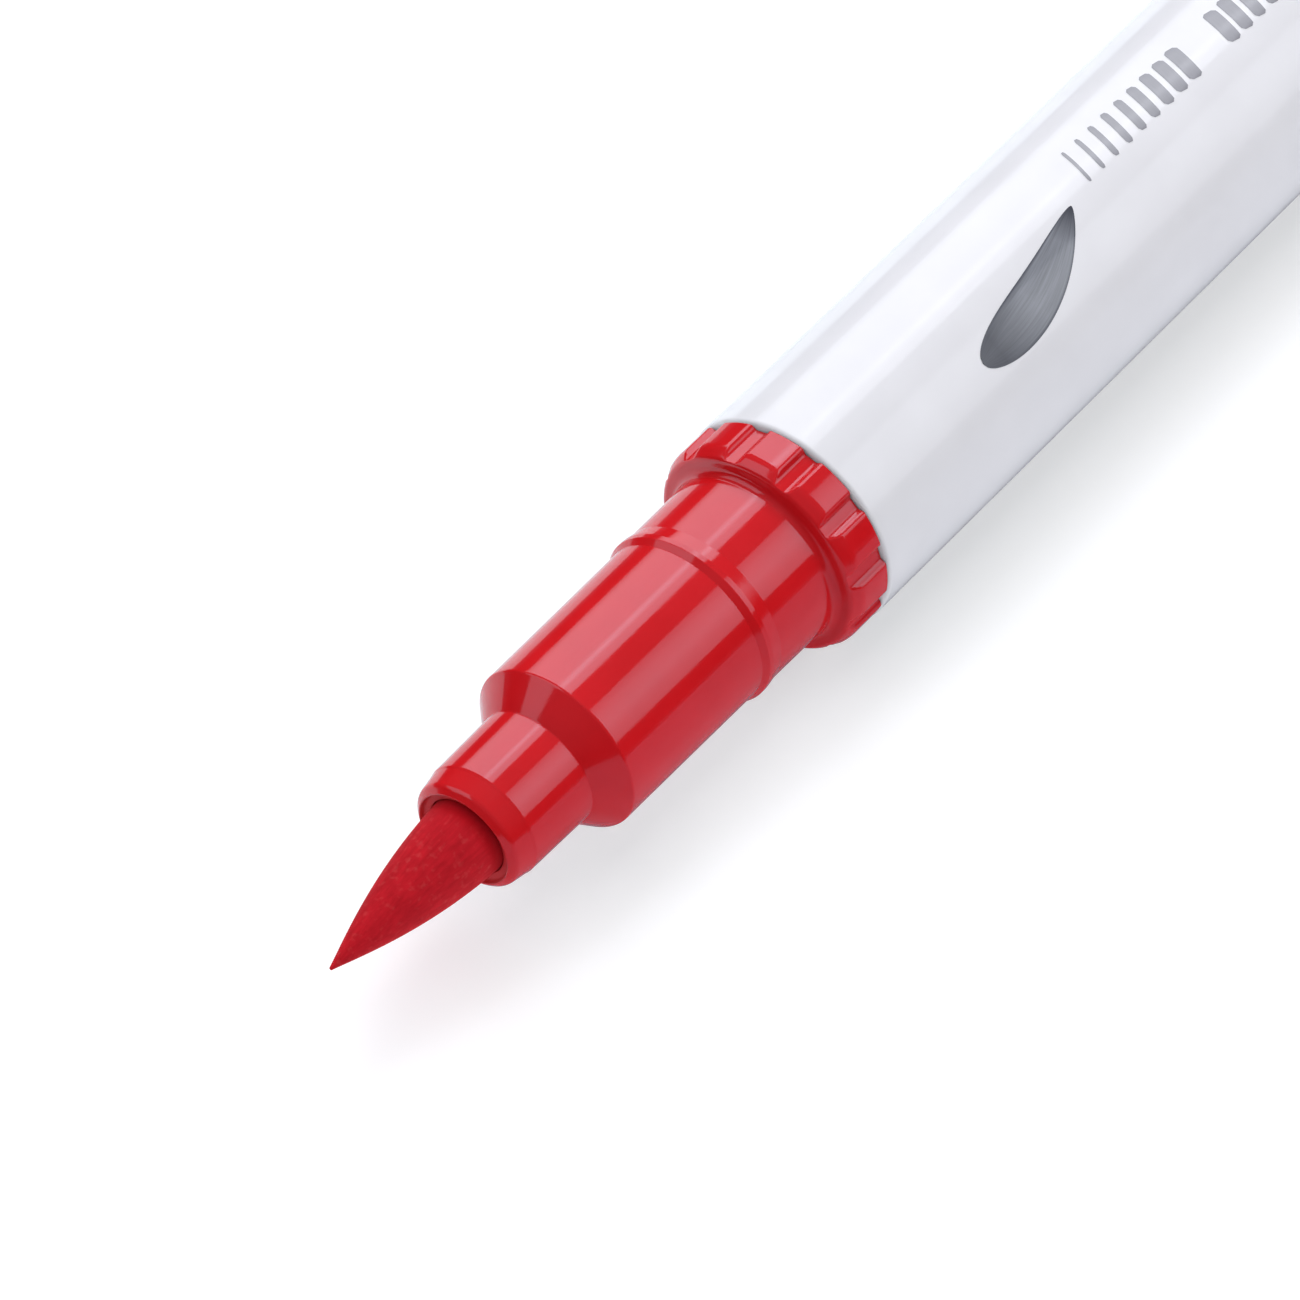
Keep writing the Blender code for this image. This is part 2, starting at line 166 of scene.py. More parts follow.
# The plastics' and the felt's grain: noise scales are per metre, heights in millimetres
CLOUD_SCALE = 320.0
SMUDGE_SCALE = 900.0
WAVE_SCALE = 420.0
WAVE_HEIGHT = 0.004
GRAIN_SCALE = 9000.0
GRAIN_HEIGHT = 0.0006
SMUDGED = 1.9  # how much rougher a smudge is than polished plastic
UNPOLISHED = 0.7
FELT = (0.46, 0.006, 0.013), (0.58, 0.010, 0.020)
FELT_FLECK = (0.80, 0.16, 0.15)
# Painted shade: the felt's darker colour at the mouth, where the lip shades the nib
FELT_MOUTH_SHADE = (0.48, 0.002, 0.008)
FIBRE_HEIGHT = 0.015
PORE_HEIGHT = 0.012

# The table, in metres, and its colours. The camera sees GLOW plus SHADOW as the lights fall on it:
# together they are white, and darker in the pen's shadow. The pen gets its light from PAPER and
# BOUNCE_GLOW. Its gloss mirrors MIRRORED_TABLE, from the viewer's side (0) to the far side (1),
# over MIRROR_REACH either way of the pen's axis.
TABLE_REACH = 3.0
TABLE_DROP = -0.00002
GLOW = (0.415, 0.42, 0.423)
SHADOW = (0.675, 0.67, 0.67)
PAPER = (0.97, 0.98, 1.0)
BOUNCE_GLOW = 0.35
FAR_TABLE = (0.10, 0.11, 0.13)
NEAR_SIDE = (0.42, 0.45, 0.53)
FAR_SIDE = (0.90, 0.97, 1.0)
MIRROR_REACH = 0.1
MIRRORED_TABLE = [
    (0.0, FAR_TABLE),
    (0.09, NEAR_SIDE),
    (0.495, NEAR_SIDE),
    (0.525, FAR_SIDE),
    (0.80, FAR_SIDE),
    (0.84, FAR_TABLE),
]
ROOM_LOW = (0.05, 0.05, 0.055)
ROOM_HIGH = (0.24, 0.24, 0.26)

# The camera in degrees and millimetres, and where the barrel's front edge lies in its own axes
CAMERA_AZIMUTH = -52.0
CAMERA_ELEVATION = 49.5
CAMERA_LENS = 254.8
SENSOR_WIDTH = 36.0
SEAM_IN_VIEW = (6.05, 5.55, -400.0)

# How far the lights are from the pen's axis, in millimetres
SOFTBOX_DISTANCE = 600.0
HIDDEN_DISTANCE = 500.0

# Fineness of the meshes
ARC_STEPS = 10
SUPPORT = 0.05
SIDES = 192
NOSE_SIDES = 384
BARREL_SIDES = 288
NIB_SIDES = 160
NIB_STEPS = 70
STROKE_ACROSS = 10


# ---------------------------------------------------------------- outlines
def corner_arc(before, corner, after, radius):
    """Points of the arc that rounds a corner of an outline."""
    corner_v = Vector(corner)
    to_before = (Vector(before) - corner_v).normalized()
    to_after = (Vector(after) - corner_v).normalized()
    opening = to_before.angle(to_after)
    reach = radius / math.tan(opening / 2)
    centre = corner_v + (to_before + to_after).normalized() * radius / math.sin(opening / 2)
    start = corner_v + to_before * reach - centre
    end = corner_v + to_after * reach - centre
    swing = start.angle_signed(end)
    points = []
    for step in range(ARC_STEPS + 1):
        turn = Matrix.Rotation(-swing * step / ARC_STEPS, 2)
        points.append(tuple(centre + turn @ start))
    return points


def rounded(corners, closed=True, steps=0.0):
    """Join corners of (x, radius, fillet) into an outline, with arcs at the fillets.

    Points just inside the ends of each straight run keep the shading of flats flat. Where steps is
    given, straight runs get points that far apart.
    """
    count = len(corners)
    pieces = []
    for index, (x, radius, fillet) in enumerate(corners):
        if fillet <= 0 or (not closed and index in (0, count - 1)):
            pieces.append([(x, radius)])
            continue
        before = corners[index - 1][:2]
        after = corners[(index + 1) % count][:2]
        pieces.append(corner_arc(before, (x, radius), after, fillet))
    outline = []
    for index, piece in enumerate(pieces):
        outline.extend(piece)
        if index == count - 1 and not closed:
            break
        start, end = Vector(piece[-1]), Vector(pieces[(index + 1) % count][0])
        run = (end - start).length
        if run > 4 * SUPPORT:
            shares = [SUPPORT / run, 1 - SUPPORT / run]
            if steps and run > steps:
                parts = int(run / steps) + 1
                shares = [shares[0], *[i / parts for i in range(1, parts)], shares[1]]
            outline.extend(tuple(start.lerp(end, share)) for share in shares)
    return outline


# ---------------------------------------------------------------- meshes
def place_piece(name, mesh, turn=0.0):
    """Put a mesh on the pen's axis, turned from the top towards the viewer."""
    piece = bpy.data.objects.new(name, mesh)
    bpy.context.collection.objects.link(piece)
    piece.location = Vector((SEAM_X, AXIS_Y, AXIS_Z)) * MM
    piece.rotation_euler.x = turn
    return piece


def finish_mesh(name, shape):
    """Make a smooth mesh of a bmesh, with its faces pointing out."""
    bmesh.ops.remove_doubles(shape, verts=shape.verts, dist=1e-7)
    bmesh.ops.recalc_face_normals(shape, faces=shape.faces)
    mesh = bpy.data.meshes.new(name)
    shape.to_mesh(mesh)
    shape.free()
    mesh.shade_smooth()
    return mesh


def turned_shape(outline, sides, closed=True, radius_at=None):
    """Turn an outline about the X axis; radius_at may change a radius by place and angle."""
    shape = bmesh.new()
    rings = []
    for x, radius in outline:
        if radius <= 1e-9:
            rings.append([shape.verts.new((x * MM, 0.0, 0.0))] * sides)
            continue
        ring = []
        for side in range(sides):
            angle = math.tau * side / sides
            here = radius_at(x, radius, angle) if radius_at else radius
            point = (x, -here * math.sin(angle), here * math.cos(angle))
            ring.append(shape.verts.new(Vector(point) * MM))
        rings.append(ring)
    pairs = zip(rings, rings[1:] + ([rings[0]] if closed else []))
    for first, second in pairs:
        for side in range(sides):
            after = (side + 1) % sides
            corners = [first[side], first[after], second[after], second[side]]
            corners = list(dict.fromkeys(corners))
            if len(corners) > 2:
                shape.faces.new(corners)
    return shape


def turned_piece(name, corners, sides, closed=True, radius_at=None, steps=0.0):
    """A turned piece on the pen's axis, from corners of (x, radius, fillet)."""
    outline = rounded(corners, closed, steps)
    shape = turned_shape(outline, sides, closed, radius_at)
    return place_piece(name, finish_mesh(name, shape))


# ---------------------------------------------------------------- node materials
def set_stops(node, stops):
    """Give a colour ramp node its (place, colour) stops."""
    elements = node.color_ramp.elements
    while len(elements) < len(stops):
        elements.new(0.5)
    for element, (place, color) in zip(elements, stops):
        element.position = place
        element.color = (*color, 1.0)


class Nodes:
    """A material's node tree, with short ways to add and join nodes."""

    def __init__(self, name):
        self.material = bpy.data.materials.new(name)
        self.material.use_nodes = True
        self.tree = self.material.node_tree
        self.shader = self.tree.nodes["Principled BSDF"]
        self.output = self.tree.nodes["Material Output"]

    def set(self, **values):
        """Set the shader's own sockets; underscores stand for spaces."""
        for key, value in values.items():
            self.shader.inputs[key.replace("_", " ")].default_value = value

    def add(self, kind, **settings):
        """Add a node and set its properties."""
        node = self.tree.nodes.new(kind)
        for key, value in settings.items():
            setattr(node, key, value)
        return node

    def join(self, source, target):
        """Link one socket to another."""
        self.tree.links.new(source, target)

    def place(self, scale=(1, 1, 1)):
        """The piece's own coordinates, scaled."""
        coords = self.add("ShaderNodeTexCoord")
        mapping = self.add("ShaderNodeMapping")
        mapping.inputs["Scale"].default_value = scale
        self.join(coords.outputs["Object"], mapping.inputs["Vector"])
        return mapping.outputs["Vector"]

    def noise(self, vector, scale, detail=4.0, roughness=0.5):
        """A noise texture's value."""
        node = self.add("ShaderNodeTexNoise")
        node.inputs["Scale"].default_value = scale
        node.inputs["Detail"].default_value = detail
        node.inputs["Roughness"].default_value = roughness
        self.join(vector, node.inputs["Vector"])
        return node.outputs["Fac"]

    def ramp(self, value, stops):
        """A colour ramp over a value, from (place, colour) stops."""
        node = self.add("ShaderNodeValToRGB")
        set_stops(node, stops)
        self.join(value, node.inputs["Fac"])
        return node.outputs["Color"]

    def blend(self, kind, share, first, second):
        """Mix two colours; each of share, first and second is a value or a socket."""
        node = self.add("ShaderNodeMix", data_type="RGBA", blend_type=kind)
        sockets = node.inputs[0], node.inputs[6], node.inputs[7]
        for socket, value in zip(sockets, (share, first, second)):
            if isinstance(value, bpy.types.NodeSocket):
                self.join(value, socket)
            else:
                socket.default_value = value
        return node.outputs[2]

    def rescale(self, value, low, high, new_low, new_high):
        """A value moved from one range to another, and kept inside it."""
        node = self.add("ShaderNodeMapRange")
        limits = {"From Min": low, "From Max": high, "To Min": new_low, "To Max": new_high}
        for key, number in limits.items():
            node.inputs[key].default_value = number
        self.join(value, node.inputs["Value"])
        return node.outputs["Result"]

    def bump(self, height, strength, distance, after=None):
        """A bump from a height, in millimetres, on top of an earlier one."""
        node = self.add("ShaderNodeBump")
        node.inputs["Strength"].default_value = strength
        node.inputs["Distance"].default_value = distance * MM
        self.join(height, node.inputs["Height"])
        if after is not None:
            self.join(after, node.inputs["Normal"])
        return node.outputs["Normal"]


def moulded_plastic(name, low_color, high_color, gloss, cast=None, dull_within=None, **sockets):
    """Polished injection-moulded plastic: slow waves, fine grain and small changes of gloss.

    cast is the colour of the light it throws on its surroundings, where that isn't its own.
    Surfaces nearer the axis than dull_within, in millimetres, are left unpolished.
    """
    m = Nodes(name)
    place = m.place()
    slow = m.noise(place, CLOUD_SCALE, 2.0)
    color = m.ramp(slow, [(0.3, low_color), (0.7, high_color)])
    if cast:
        path = m.add("ShaderNodeLightPath")
        color = m.blend("MIX", path.outputs["Is Diffuse Ray"], color, (*cast, 1.0))
    m.join(color, m.shader.inputs["Base Color"])
    smudge = m.noise(place, SMUDGE_SCALE, 3.0)
    roughness = m.rescale(smudge, 0.3, 0.75, gloss, gloss * SMUDGED)
    if dull_within:
        from_axis = m.add("ShaderNodeVectorMath", operation="LENGTH")
        m.join(m.place((0, 1, 1)), from_axis.inputs[0])
        inner, outer = (dull_within - 0.02) * MM, dull_within * MM
        dull = m.rescale(from_axis.outputs["Value"], inner, outer, UNPOLISHED, 0.0)
        rougher = m.add("ShaderNodeMath", operation="MAXIMUM")
        m.join(roughness, rougher.inputs[0])
        m.join(dull, rougher.inputs[1])
        roughness = rougher.outputs[0]
    m.join(roughness, m.shader.inputs["Roughness"])
    waves = m.bump(m.noise(m.place((0.35, 1, 1)), WAVE_SCALE, 1.0), 1.0, WAVE_HEIGHT)
    fine = m.bump(m.noise(place, GRAIN_SCALE, 2.0), 1.0, GRAIN_HEIGHT, waves)
    m.join(fine, m.shader.inputs["Normal"])
    m.set(IOR=1.5, **sockets)
    return m.material


def felt(name):
    """Bonded fibre full of ink: lengthwise fibres, fine pores, and painted shade towards the mouth.
    """
    m = Nodes(name)
    place = m.place()
    fibres = m.noise(m.place((0.1, 1, 1)), 6500.0, 5.0, 0.6)
    cloud = m.noise(place, 900.0, 4.0, 0.6)
    base = m.ramp(fibres, [(0.3, FELT[0]), (0.7, FELT[1])])
    tone = m.ramp(cloud, [(0.35, (0.86, 0.86, 0.86)), (0.65, (1.0, 1.0, 1.0))])
    mottled = m.blend("MULTIPLY", 1.0, base, tone)
    specks = m.rescale(m.noise(place, 2800.0, 2.0), 0.56, 0.8, 0.0, 0.16)
    flecked = m.blend("MIX", specks, mottled, (*FELT_FLECK, 1.0))
    along = m.add("ShaderNodeSeparateXYZ")
    m.join(place, along.inputs["Vector"])
    # Painted shade: the felt darkens towards the mouth, where the lip shades the nib
    shade_start_x, shade_full_x = (MOUTH_X - 0.42) * MM, (MOUTH_X + 0.02) * MM
    mouth = m.rescale(along.outputs["X"], shade_start_x, shade_full_x, 0.0, 0.8)
    mouth_shaded = m.blend("MIX", mouth, flecked, (*FELT_MOUTH_SHADE, 1.0))
    m.join(mouth_shaded, m.shader.inputs["Base Color"])
    ribs = m.bump(fibres, 0.5, FIBRE_HEIGHT)
    pores = m.bump(m.noise(place, 11000.0, 3.0), 0.5, PORE_HEIGHT, ribs)
    m.join(pores, m.shader.inputs["Normal"])
    m.set(Roughness=0.9, IOR=1.25)
    return m.material


def print_ink(name, dark, light, streak_share=1.0):
    """Printed ink in washes: streaks along each stroke, darker at its ends and edges.

    streak_share is how strong the streaks are, from 0 to 1.
    """
    m = Nodes(name)
    coords = m.add("ShaderNodeTexCoord")
    mapping = m.add("ShaderNodeMapping")
    mapping.inputs["Scale"].default_value = (1.4, 9.0, 1.0)
    m.join(coords.outputs["UV"], mapping.inputs["Vector"])
    streaks = m.noise(mapping.outputs["Vector"], 2.0, 4.0, 0.6)
    parts = m.add("ShaderNodeSeparateXYZ")
    m.join(coords.outputs["UV"], parts.inputs["Vector"])
    level = (1 - streak_share) / 2
    along = [(0.0, dark), (0.12, dark), (0.45, light), (0.8, light), (1.0, dark)]
    wash = m.ramp(parts.outputs["X"], along)
    grain = m.ramp(streaks, [(0.3, (level, level, level)), (0.7, (1, 1, 1))])
    streaked = m.blend("MIX", 0.35 * streak_share, wash, m.blend("MULTIPLY", 1.0, wash, grain))
    full, none = (1, 1, 1), (0, 0, 0)
    rim = m.ramp(parts.outputs["Y"], [(0.0, full), (0.07, none), (0.93, none), (1.0, full)])
    m.join(m.blend("MIX", rim, streaked, (*dark, 1.0)), m.shader.inputs["Base Color"])
    m.set(Roughness=0.12, IOR=1.5)
    return m.material


def fibre_core(name):
    """Ink-soaked bundle of lengthwise fibres."""
    m = Nodes(name)
    fibres = m.noise(m.place((0.05, 1, 1)), 9000.0, 4.0)
    color = m.ramp(fibres, [(0.3, (0.35, 0.01, 0.02)), (0.7, (0.62, 0.03, 0.04))])
    m.join(color, m.shader.inputs["Base Color"])
    m.join(m.bump(fibres, 0.6, 0.03), m.shader.inputs["Normal"])
    m.set(Roughness=0.85)
    return m.material


# ---------------------------------------------------------------- the pen's pieces
def notched(x, radius, angle):
    """The collar's radius with its notches, which leave rounded lobes between them."""
    if not COLLAR_FACE_X <= x <= COLLAR_REAR_X + 0.01 or radius < COLLAR_R - NOTCH_DEPTH:
        return radius
    pitch = math.tau / NOTCH_COUNT
    from_notch = abs((angle - math.radians(LOBE_TURN) + math.tau) % pitch - pitch / 2)
    top, floor = math.radians(NOTCH_TOP), math.radians(NOTCH_FLOOR)
    share = min(max((top - from_notch) / (top - floor), 0.0), 1.0)
    depth = NOTCH_DEPTH * share * share * (3 - 2 * share)
    return min(radius, COLLAR_R - depth)


def make_nose():
    """Nose section: lip, snout, shoulder, body, bead, land, notched collar and spigot."""
    bead_rear = COLLAR_FACE_X - BEAD_FROM_FACE
    bead_front = bead_rear - BEAD_LENGTH - BEAD_STRETCH
    land_r, bead_r = LAND_R - BEAD_TRIM, BEAD_R - BEAD_TRIM
    mouth_x = MOUTH_X + MOUTH_BACK
    corners = [
        (SPIGOT_END_X, SPIGOT_R, 0.15),
        (COLLAR_REAR_X, SPIGOT_R, 0),
        (COLLAR_REAR_X, COLLAR_R, 0.06),
        (COLLAR_BAND_X, COLLAR_R, 0.9),
        (COLLAR_EDGE_X, COLLAR_R - NOTCH_DEPTH, 0.35),
        (COLLAR_FACE_X, LAND_R, 0.4),
        (bead_rear, land_r, 0.12),
        (bead_rear - BEAD_REAR_SLOPE, bead_r, 0.1),
        (bead_front + BEAD_FRONT_SLOPE, bead_r, 0.08),
        (bead_front, BODY_R - BODY_TRIM, 0.06),
        (SHOULDER_X + BODY_STRAIGHT, BODY_FRONT_R, 0),
        (SHOULDER_X, BODY_FRONT_R, 0.2),
        (SNOUT_X, SNOUT_R, 0.1),
        (LIP_X, SNOUT_FRONT_R, 0.14),
        (LIP_X - LIP_STEP, SNOUT_FRONT_R - LIP_STEP_DROP, 0.05),
        (mouth_x + LIP_SLOPE, LIP_R, 0.4),
        (mouth_x, LIP_R - LIP_SLOPE_DROP, 0.06),
        (mouth_x + RECESS_SIDE, NIB_R + RECESS_WIDTH, 0.1),
        (mouth_x + RECESS_FLOOR, NIB_R + NIB_CLEARANCE, 0),
        (NOSE_BORE_X, NIB_R + NIB_CLEARANCE, 0),
        (NOSE_BORE_X, NOSE_BORE_R, 0),
        (SPIGOT_END_X, NOSE_BORE_R, 0.1),
    ]
    return turned_piece("nose_shell", corners, NOSE_SIDES, radius_at=notched, steps=0.5)


def make_nib():
    """Brush nib: a pointed ogive with a soft tip, and its shank."""
    head = []
    for step in range(NIB_STEPS + 1):
        along = NIB_TAPER * (step / NIB_STEPS) ** 2
        fuller = along + NIB_FULLNESS * math.exp(-along)
        ogive = NIB_R * (1 - (1 - min(fuller / NIB_TAPER, 1.0)) ** 2)
        tip = math.sqrt(2 * TIP_R * along)
        head.append((NIB_TIP_X + along, min(ogive, tip) if along < TIP_REACH else ogive))
    shank = [
        (NIB_SHOULDER_X - 0.05, NIB_R),
        (NIB_SHOULDER_X, NIB_R - 0.05),
        (NIB_SHOULDER_X, SHANK_R),
        (NIB_END_X - SHANK_POINT, SHANK_R),
        (NIB_END_X, SHANK_R / 2),
        (NIB_END_X, 0.0),
    ]
    shape = turned_shape(head + shank, NIB_SIDES, closed=False)
    return place_piece("nib", finish_mesh("nib", shape))


def ribbed(x, radius, angle):
    """The barrel's radius, with ribs in its bore between the two spigots."""
    if radius > BARREL_BORE_R + 0.01 or not SPIGOT_END_X + FIT <= x <= PLUG_FRONT_X - FIT:
        return radius
    pitch = math.tau / RIB_COUNT
    from_rib = abs((angle + pitch / 2) % pitch - pitch / 2) * radius
    return radius - RIB_HEIGHT if from_rib < RIB_WIDTH / 2 else radius


def make_barrel():
    """Barrel: a long tube with softened edges and ribs in its bore."""
    corners = [
        (0.0, BARREL_BORE_R, 0.1),
        (0.0, BARREL_R - BARREL_TRIM, 0.2),
        (BARREL_LENGTH, BARREL_R - BARREL_TRIM, 0.14),
        (BARREL_LENGTH, BARREL_BORE_R, 0.1),
        (PLUG_FRONT_X - FIT + 0.02, BARREL_BORE_R, 0),
        (PLUG_FRONT_X - FIT, BARREL_BORE_R, 0),
        (SPIGOT_END_X + FIT, BARREL_BORE_R, 0),
        (SPIGOT_END_X + FIT - 0.02, BARREL_BORE_R, 0),
    ]
    return turned_piece("barrel_tube", corners, BARREL_SIDES, radius_at=ribbed)


def make_tail():
    """Tail plug: a spigot, a flange, and the beaded stub for the posted cap."""
    bead_start = STUB_X + BEAD_FROM_FACE
    corners = [
        (STUB_END_X - STUB_END_WALL, 0.0, 0),
        (STUB_END_X - STUB_END_WALL, LAND_R - TAIL_WALL, 0.2),
        (FLANGE_X, LAND_R - TAIL_WALL, 0),
        (FLANGE_X, SPIGOT_R - TAIL_WALL, 0),
        (PLUG_FRONT_X, SPIGOT_R - TAIL_WALL, 0.1),
        (PLUG_FRONT_X, SPIGOT_R, 0.15),
        (FLANGE_X, SPIGOT_R, 0),
        (FLANGE_X, COLLAR_R, 0.12),
        (STUB_X, COLLAR_R, 0.25),
        (STUB_X, LAND_R, 0.1),
        (bead_start, LAND_R, 0.3),
        (bead_start + BEAD_LENGTH * 0.45, BEAD_R, 0.3),
        (bead_start + BEAD_LENGTH * 0.8, BEAD_R, 0.12),
        (bead_start + BEAD_LENGTH, BODY_R, 0.12),
        (STUB_END_X, BODY_R, 0.55),
        (STUB_END_X, 0.0, 0),
    ]
    return turned_piece("tail_end", corners, SIDES, closed=False)


def make_cap():
    """Cap shell: a slightly tapered tube with a rolled mouth."""
    corners = [
        (CAP_MOUTH_X, CAP_BORE_R, 0.15),
        (CAP_MOUTH_X, CAP_R, 0.2),
        (CAP_END_X, CAP_END_R, 0.15),
        (CAP_END_X, CUP_SEAT_R, 0.1),
        (CUP_MOUTH_X, CUP_SEAT_R, 0.1),
        (CUP_MOUTH_X, CAP_BORE_R, 0.1),
    ]
    return turned_piece("cap_tube", corners, SIDES)


def make_crown():
    """Crown: a stem in the shell's end and a rounded head with a shallow dish."""
    head_x = CLIP_END_X + FIT
    corners = [
        (CUP_END_X + FIT, 0.0, 0),
        (CUP_END_X + FIT, CUP_R, 0.15),
        (head_x, CUP_R, 0),
        (head_x, CAP_END_R, 0.12),
        (CROWN_END_X, CAP_END_R, 0.6),
        (CROWN_END_X, 0.0, 0),
    ]
    return turned_piece("crown", corners, SIDES, closed=False)


def make_clip():
    """Clip: a ring under the crown, and a bar with rounded edges and a pad at its free end."""
    ring_x = CLIP_END_X - CLIP_RING
    clip_r = CAP_R + CLIP_RISE
    under_r = clip_r - CLIP_THICKNESS
    root_r = (CUP_SEAT_R + CAP_END_R) / 2
    ring = [
        (ring_x, CUP_SEAT_R, 0.08),
        (ring_x, CAP_END_R, 0.12),
        (CLIP_END_X, CAP_END_R, 0.12),
        (CLIP_END_X, CUP_SEAT_R, 0.08),
    ]
    side = [
        (CLIP_END_X - CLIP_WELD, root_r, 0),
        (CLIP_END_X - CLIP_WELD, clip_r, 1.3),
        (CLIP_FREE_X, clip_r, 0.9),
        (CLIP_FREE_X, under_r - 0.2, 0.3),
        (CLIP_PAD_X, CAP_R + FIT, 0.8),
        (CLIP_PAD_END_X, under_r, 0.8),
        (ring_x - 0.6, under_r, 0.6),
        (ring_x + CLIP_WELD, CAP_END_R + 0.1, 0.1),
        (ring_x + CLIP_WELD, root_r, 0),
    ]
    shape = bmesh.new()
    outline = rounded(side, steps=1.0)
    points = [Vector((x, -CLIP_WIDTH / 2, r)) * MM for x, r in outline]
    face = shape.faces.new([shape.verts.new(point) for point in points])
    pushed = bmesh.ops.extrude_face_region(shape, geom=[face])["geom"]
    moved = [item for item in pushed if isinstance(item, bmesh.types.BMVert)]
    bmesh.ops.translate(shape, verts=moved, vec=(0.0, CLIP_WIDTH * MM, 0.0))
    rims = [edge for edge in shape.edges if abs(edge.verts[0].co.y - edge.verts[1].co.y) < 1e-9]
    offset = CLIP_EDGE * MM
    bmesh.ops.bevel(shape, geom=rims, offset=offset, segments=4, profile=0.5, affect="EDGES")
    arm = place_piece("clip_arm", finish_mesh("clip_arm", shape), turn=CLIP_TURN)
    ring_piece = turned_piece("clip_ring", ring, SIDES)
    return arm, ring_piece


def clip_turn():
    """The clip's angle from the top, with its lower edge on the table."""
    clip_r = CAP_R + CLIP_RISE
    lean = math.atan2(CLIP_WIDTH / 2, clip_r)
    down = math.acos(AXIS_Z / math.hypot(clip_r, CLIP_WIDTH / 2)) + lean
    return math.pi - down


CLIP_TURN = clip_turn()

# The printed side of the barrel, as an angle from the top towards the viewer
FACING = 27.8


# ---------------------------------------------------------------- printed marks
def ribbon(shape, uv, route, width_at, radius, count):
    """Lay a stroke on the barrel: route gives (x, angle) and width_at its width, for 0 to 1."""
    rows = []
    for step in range(count + 1):
        share = step / count
        here = Vector(route(share))
        ahead = Vector(route(min(share + 0.01, 1.0))) - Vector(route(max(share - 0.01, 0.0)))
        ahead = Vector((ahead.x, ahead.y * radius))
        side = Vector((-ahead.y, ahead.x)).normalized() * width_at(share) / 2
        row = []
        for part in range(STROKE_ACROSS + 1):
            offset = side * (2 * part / STROKE_ACROSS - 1)
            x, angle = here.x + offset.x, here.y + offset.y / radius
            point = (x, -radius * math.sin(angle), radius * math.cos(angle))
            row.append(shape.verts.new(Vector(point) * MM))
        rows.append(row)
    for step in range(count):
        for part in range(STROKE_ACROSS):
            places = [(step, part), (step + 1, part), (step + 1, part + 1), (step, part + 1)]
            face = shape.faces.new([rows[a][b] for a, b in places])
            for loop, (a, b) in zip(face.loops, places):
                loop[uv].uv = (a / count, b / STROKE_ACROSS)


def mark_piece(name, strokes):
    """One printed mark from strokes of (route, width, count), laid on the barrel."""
    shape = bmesh.new()
    uv = shape.loops.layers.uv.new("stroke")
    for route, width_at, count in strokes:
        ribbon(shape, uv, route, width_at, BARREL_R - PRINT_TRIM, count)
    mesh = bpy.data.meshes.new(name)
    shape.to_mesh(mesh)
    shape.free()
    mesh.shade_smooth()
    return place_piece(name, mesh)


def wash_stroke():
    """One plain stroke of washed ink along the barrel, tapered at both ends."""
    facing = math.radians(FACING)
    start, length = 9.4, 9.2
    rise, fall, bulge = 10, 24, 7
    breadth, least = 2.3, 0.03

    def sweep(share):
        bend = math.sin(math.pi * share)
        return (start + length * share, facing + math.radians(rise - fall * share + bulge * bend))

    def spread(share):
        return breadth * math.sin(math.pi * share ** 0.72) ** 0.7 + least

    return mark_piece("wash_stroke", [(sweep, spread, 120)])


def line_samples():
    """Rows of plain slanted dashes that go from fine to bold, or back, as samples of line widths."""
    facing = math.radians(FACING)
    thin, bold = 0.18, 0.75
    pitch, spread, lean = 0.98, 0.2, 0.55
    middle, height = -26.5, 21
    rows = ((20.6, 9, thin, bold), (31.6, 12, bold, thin), (46.0, 9, thin, bold))
    strokes = []
    for start, count, first, last in rows:
        for index in range(count):
            share = index / (count - 1)
            width = first + (last - first) * share
            x = start + pitch * index + spread * share

            def slant(along, x=x):
                angle = math.radians(middle + height * (0.5 - along))
                return (x + lean * (along - 0.5), facing + angle)

            def even(along, width=width):
                return width * min(1.0, 0.55 + 6 * along, 0.55 + 6 * (1 - along))

            strokes.append((slant, even, 14))
    return mark_piece("line_width_samples", strokes)


